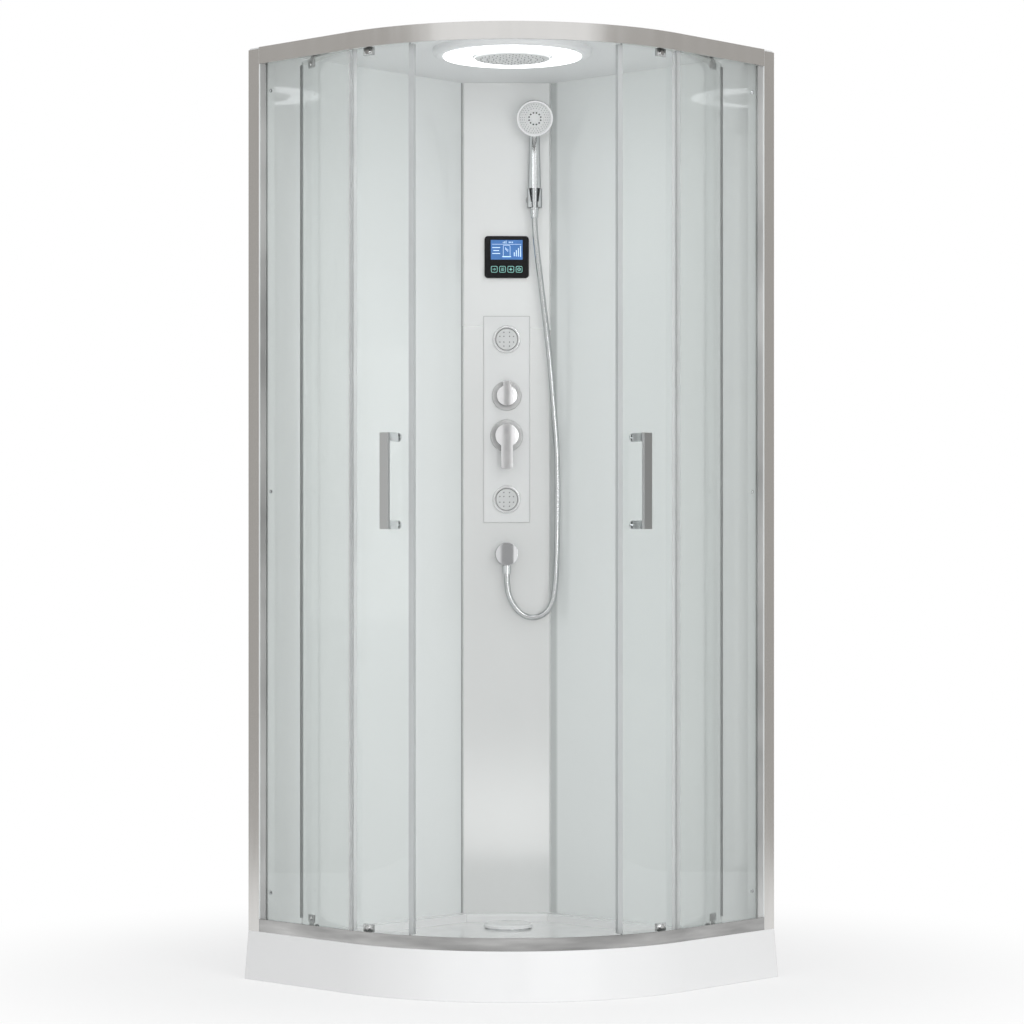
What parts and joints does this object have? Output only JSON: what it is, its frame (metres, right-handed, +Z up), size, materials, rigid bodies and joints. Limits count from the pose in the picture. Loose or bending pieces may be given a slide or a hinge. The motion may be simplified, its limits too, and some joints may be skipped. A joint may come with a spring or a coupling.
{
  "type": "hydromassage shower cabin",
  "caption": "Free-standing quadrant shower cabin with curved sliding glass doors, tray, roof lamp with rain head, and a corner column with body jets, mixer, display and hand shower.",
  "frame": {"origin": "on the floor, in the middle of the cabin's bounding box", "axes": "+Z up, -Y towards the doors, +Y towards the room corner behind the column"},
  "size_m": [1.2728, 1.045, 2.236],
  "materials": {
    "white_acrylic": "glossy white sanitary acrylic",
    "galvanised_steel": "dull zinc plated steel",
    "grey_plastic": "matt grey moulding",
    "chrome": "polished chrome plate",
    "wall_panel": "glossy white panel with mirror like reflections",
    "satin_column": "satin silver white with fine vertical grain",
    "polished_aluminium": "polished anodised extrusion",
    "dark_rubber": "matt dark gasket",
    "clear_glass": "clear toughened glass with a slight green tint",
    "clear_seal": "translucent flexible profile",
    "handle_metal": "satin light grey bar on chrome stubs",
    "roof_white": "smooth white moulding",
    "lamp_glow": "opal diffuser that glows white",
    "rain_grey": "pale grey satin moulding with soft nozzles",
    "black_glass": "glossy black display front",
    "lit_screen": "lit blue screen",
    "brass": "raw brass casting",
    "white_pipe": "white plastic pressure pipe",
    "silver_hose": "smooth silver hose",
    "white_nylon": "white nylon wheel"
  },
  "bodies": {
    "cabin": {"tray": "white_acrylic", "apron": "white_acrylic", "tray_frame": "galvanised_steel", "levelling_feet": "galvanised_steel", "drain_trap": "grey_plastic", "drain_flange": "chrome", "escutcheons": "chrome", "hose_outlet": "chrome", "handset_holder": "chrome", "jet_rings": "chrome", "frame_screws": "chrome", "left_wall_panel": "wall_panel", "right_wall_panel": "wall_panel", "column_panel": "satin_column", "fittings_plate": "satin_column", "left_post": "polished_aluminium", "right_post": "polished_aluminium", "top_rail": "polished_aluminium", "bottom_rail": "polished_aluminium", "post_gaskets": "dark_rubber", "left_fixed_glass": "clear_glass", "right_fixed_glass": "clear_glass", "fixed_glass_seals": "clear_seal", "roof_panel": "roof_white", "lamp_housing": "roof_white", "led_ring": "lamp_glow", "rain_head": "rain_grey", "display_glass": "black_glass", "display_screen": "lit_screen", "valve_bodies": "brass", "water_pipes": "white_pipe", "shower_hose": "silver_hose"},
    "right_door": {"right_door_glass": "clear_glass", "right_lead_seal": "clear_seal", "right_trail_seal": "clear_seal", "right_handle": "handle_metal", "right_handle_fixings": "chrome", "right_carriages": "chrome"},
    "left_door": {"left_door_glass": "clear_glass", "left_lead_seal": "clear_seal", "left_trail_seal": "clear_seal", "left_handle": "handle_metal", "left_handle_fixings": "chrome", "left_carriages": "chrome"},
    "left_top_front_wheel": {"left_top_front_wheel": "white_nylon"},
    "left_top_rear_wheel": {"left_top_rear_wheel": "white_nylon"},
    "left_bottom_front_wheel": {"left_bottom_front_wheel": "white_nylon"},
    "left_bottom_rear_wheel": {"left_bottom_rear_wheel": "white_nylon"},
    "right_top_front_wheel": {"right_top_front_wheel": "white_nylon"},
    "right_top_rear_wheel": {"right_top_rear_wheel": "white_nylon"},
    "right_bottom_front_wheel": {"right_bottom_front_wheel": "white_nylon"},
    "right_bottom_rear_wheel": {"right_bottom_rear_wheel": "white_nylon"},
    "drain_cover": {"drain_cover": "white_acrylic"},
    "upper_jet_nozzle": {"upper_jet_nozzle": "rain_grey"},
    "lower_jet_nozzle": {"lower_jet_nozzle": "rain_grey"},
    "diverter_knob": {"diverter_knob": "chrome"},
    "mixer_spindle": {"mixer_spindle": "chrome"},
    "mixer_lever": {"mixer_lever": "chrome"},
    "handset": {"handset": "chrome", "handset_face": "rain_grey"}
  },
  "joints": [
    {"name": "right_door_slide", "type": "hinge", "parent": "cabin", "child": "right_door", "pos_m": [0, 0.02751, 1.15], "axis": [0, 0, 1], "range_deg": [-26.55, 8]},
    {"name": "left_door_slide", "type": "hinge", "parent": "cabin", "child": "left_door", "pos_m": [0, 0.02751, 1.15], "axis": [0, 0, -1], "range_deg": [-26.55, 8]},
    {"name": "right_top_front_wheel_spin", "type": "hinge", "parent": "right_door", "child": "right_top_front_wheel", "pos_m": [0.32685, -0.34716, 2.1963], "axis": [0.6574, -0.7536, 0], "continuous": true},
    {"name": "right_top_rear_wheel_spin", "type": "hinge", "parent": "right_door", "child": "right_top_rear_wheel", "pos_m": [0.45935, -0.16276, 2.1963], "axis": [0.9239, -0.3827, 0], "continuous": true},
    {"name": "right_bottom_front_wheel_spin", "type": "hinge", "parent": "right_door", "child": "right_bottom_front_wheel", "pos_m": [0.32685, -0.34716, 0.1263], "axis": [0.6574, -0.7536, 0], "continuous": true},
    {"name": "right_bottom_rear_wheel_spin", "type": "hinge", "parent": "right_door", "child": "right_bottom_rear_wheel", "pos_m": [0.45935, -0.16276, 0.1263], "axis": [0.9239, -0.3827, 0], "continuous": true},
    {"name": "left_top_front_wheel_spin", "type": "hinge", "parent": "left_door", "child": "left_top_front_wheel", "pos_m": [-0.32685, -0.34716, 2.1963], "axis": [-0.6574, -0.7536, 0], "continuous": true},
    {"name": "left_top_rear_wheel_spin", "type": "hinge", "parent": "left_door", "child": "left_top_rear_wheel", "pos_m": [-0.45935, -0.16276, 2.1963], "axis": [-0.9239, -0.3827, 0], "continuous": true},
    {"name": "left_bottom_front_wheel_spin", "type": "hinge", "parent": "left_door", "child": "left_bottom_front_wheel", "pos_m": [-0.32685, -0.34716, 0.1263], "axis": [-0.6574, -0.7536, 0], "continuous": true},
    {"name": "left_bottom_rear_wheel_spin", "type": "hinge", "parent": "left_door", "child": "left_bottom_rear_wheel", "pos_m": [-0.45935, -0.16276, 0.1263], "axis": [-0.9239, -0.3827, 0], "continuous": true},
    {"name": "drain_cover_lift", "type": "slide", "parent": "cabin", "child": "drain_cover", "axis": [0, 0, 1], "range_m": [0, 0.03]},
    {"name": "upper_jet_tilt", "type": "hinge", "parent": "cabin", "child": "upper_jet_nozzle", "pos_m": [0, 0.39149, 1.557], "axis": [1, 0, 0], "range_deg": [-10, 10]},
    {"name": "lower_jet_tilt", "type": "hinge", "parent": "cabin", "child": "lower_jet_nozzle", "pos_m": [0, 0.39149, 1.149], "axis": [1, 0, 0], "range_deg": [-10, 10]},
    {"name": "diverter_turn", "type": "hinge", "parent": "cabin", "child": "diverter_knob", "pos_m": [0, 0.39249, 1.413], "axis": [0, -1, 0], "range_deg": [-60, 60]},
    {"name": "mixer_turn", "type": "hinge", "parent": "cabin", "child": "mixer_spindle", "pos_m": [0, 0.39249, 1.311], "axis": [0, -1, 0], "range_deg": [-45, 45]},
    {"name": "mixer_lift", "type": "hinge", "parent": "mixer_spindle", "child": "mixer_lever", "pos_m": [0, 0.38319, 1.311], "axis": [-1, 0, 0], "range_deg": [0, 20]},
    {"name": "handset_lift", "type": "slide", "parent": "cabin", "child": "handset", "axis": [0, 0, 1], "range_m": [0, 0.05], "deforming": ["shower_hose"]}
  ],
  "couplings": [
    {"joint": "right_top_front_wheel_spin", "follows": "right_door_slide", "ratio": -55.244},
    {"joint": "right_top_rear_wheel_spin", "follows": "right_door_slide", "ratio": -55.244},
    {"joint": "right_bottom_front_wheel_spin", "follows": "right_door_slide", "ratio": -55.244},
    {"joint": "right_bottom_rear_wheel_spin", "follows": "right_door_slide", "ratio": -55.244},
    {"joint": "left_top_front_wheel_spin", "follows": "left_door_slide", "ratio": 55.244},
    {"joint": "left_top_rear_wheel_spin", "follows": "left_door_slide", "ratio": 55.244},
    {"joint": "left_bottom_front_wheel_spin", "follows": "left_door_slide", "ratio": 55.244},
    {"joint": "left_bottom_rear_wheel_spin", "follows": "left_door_slide", "ratio": 55.244}
  ]
}
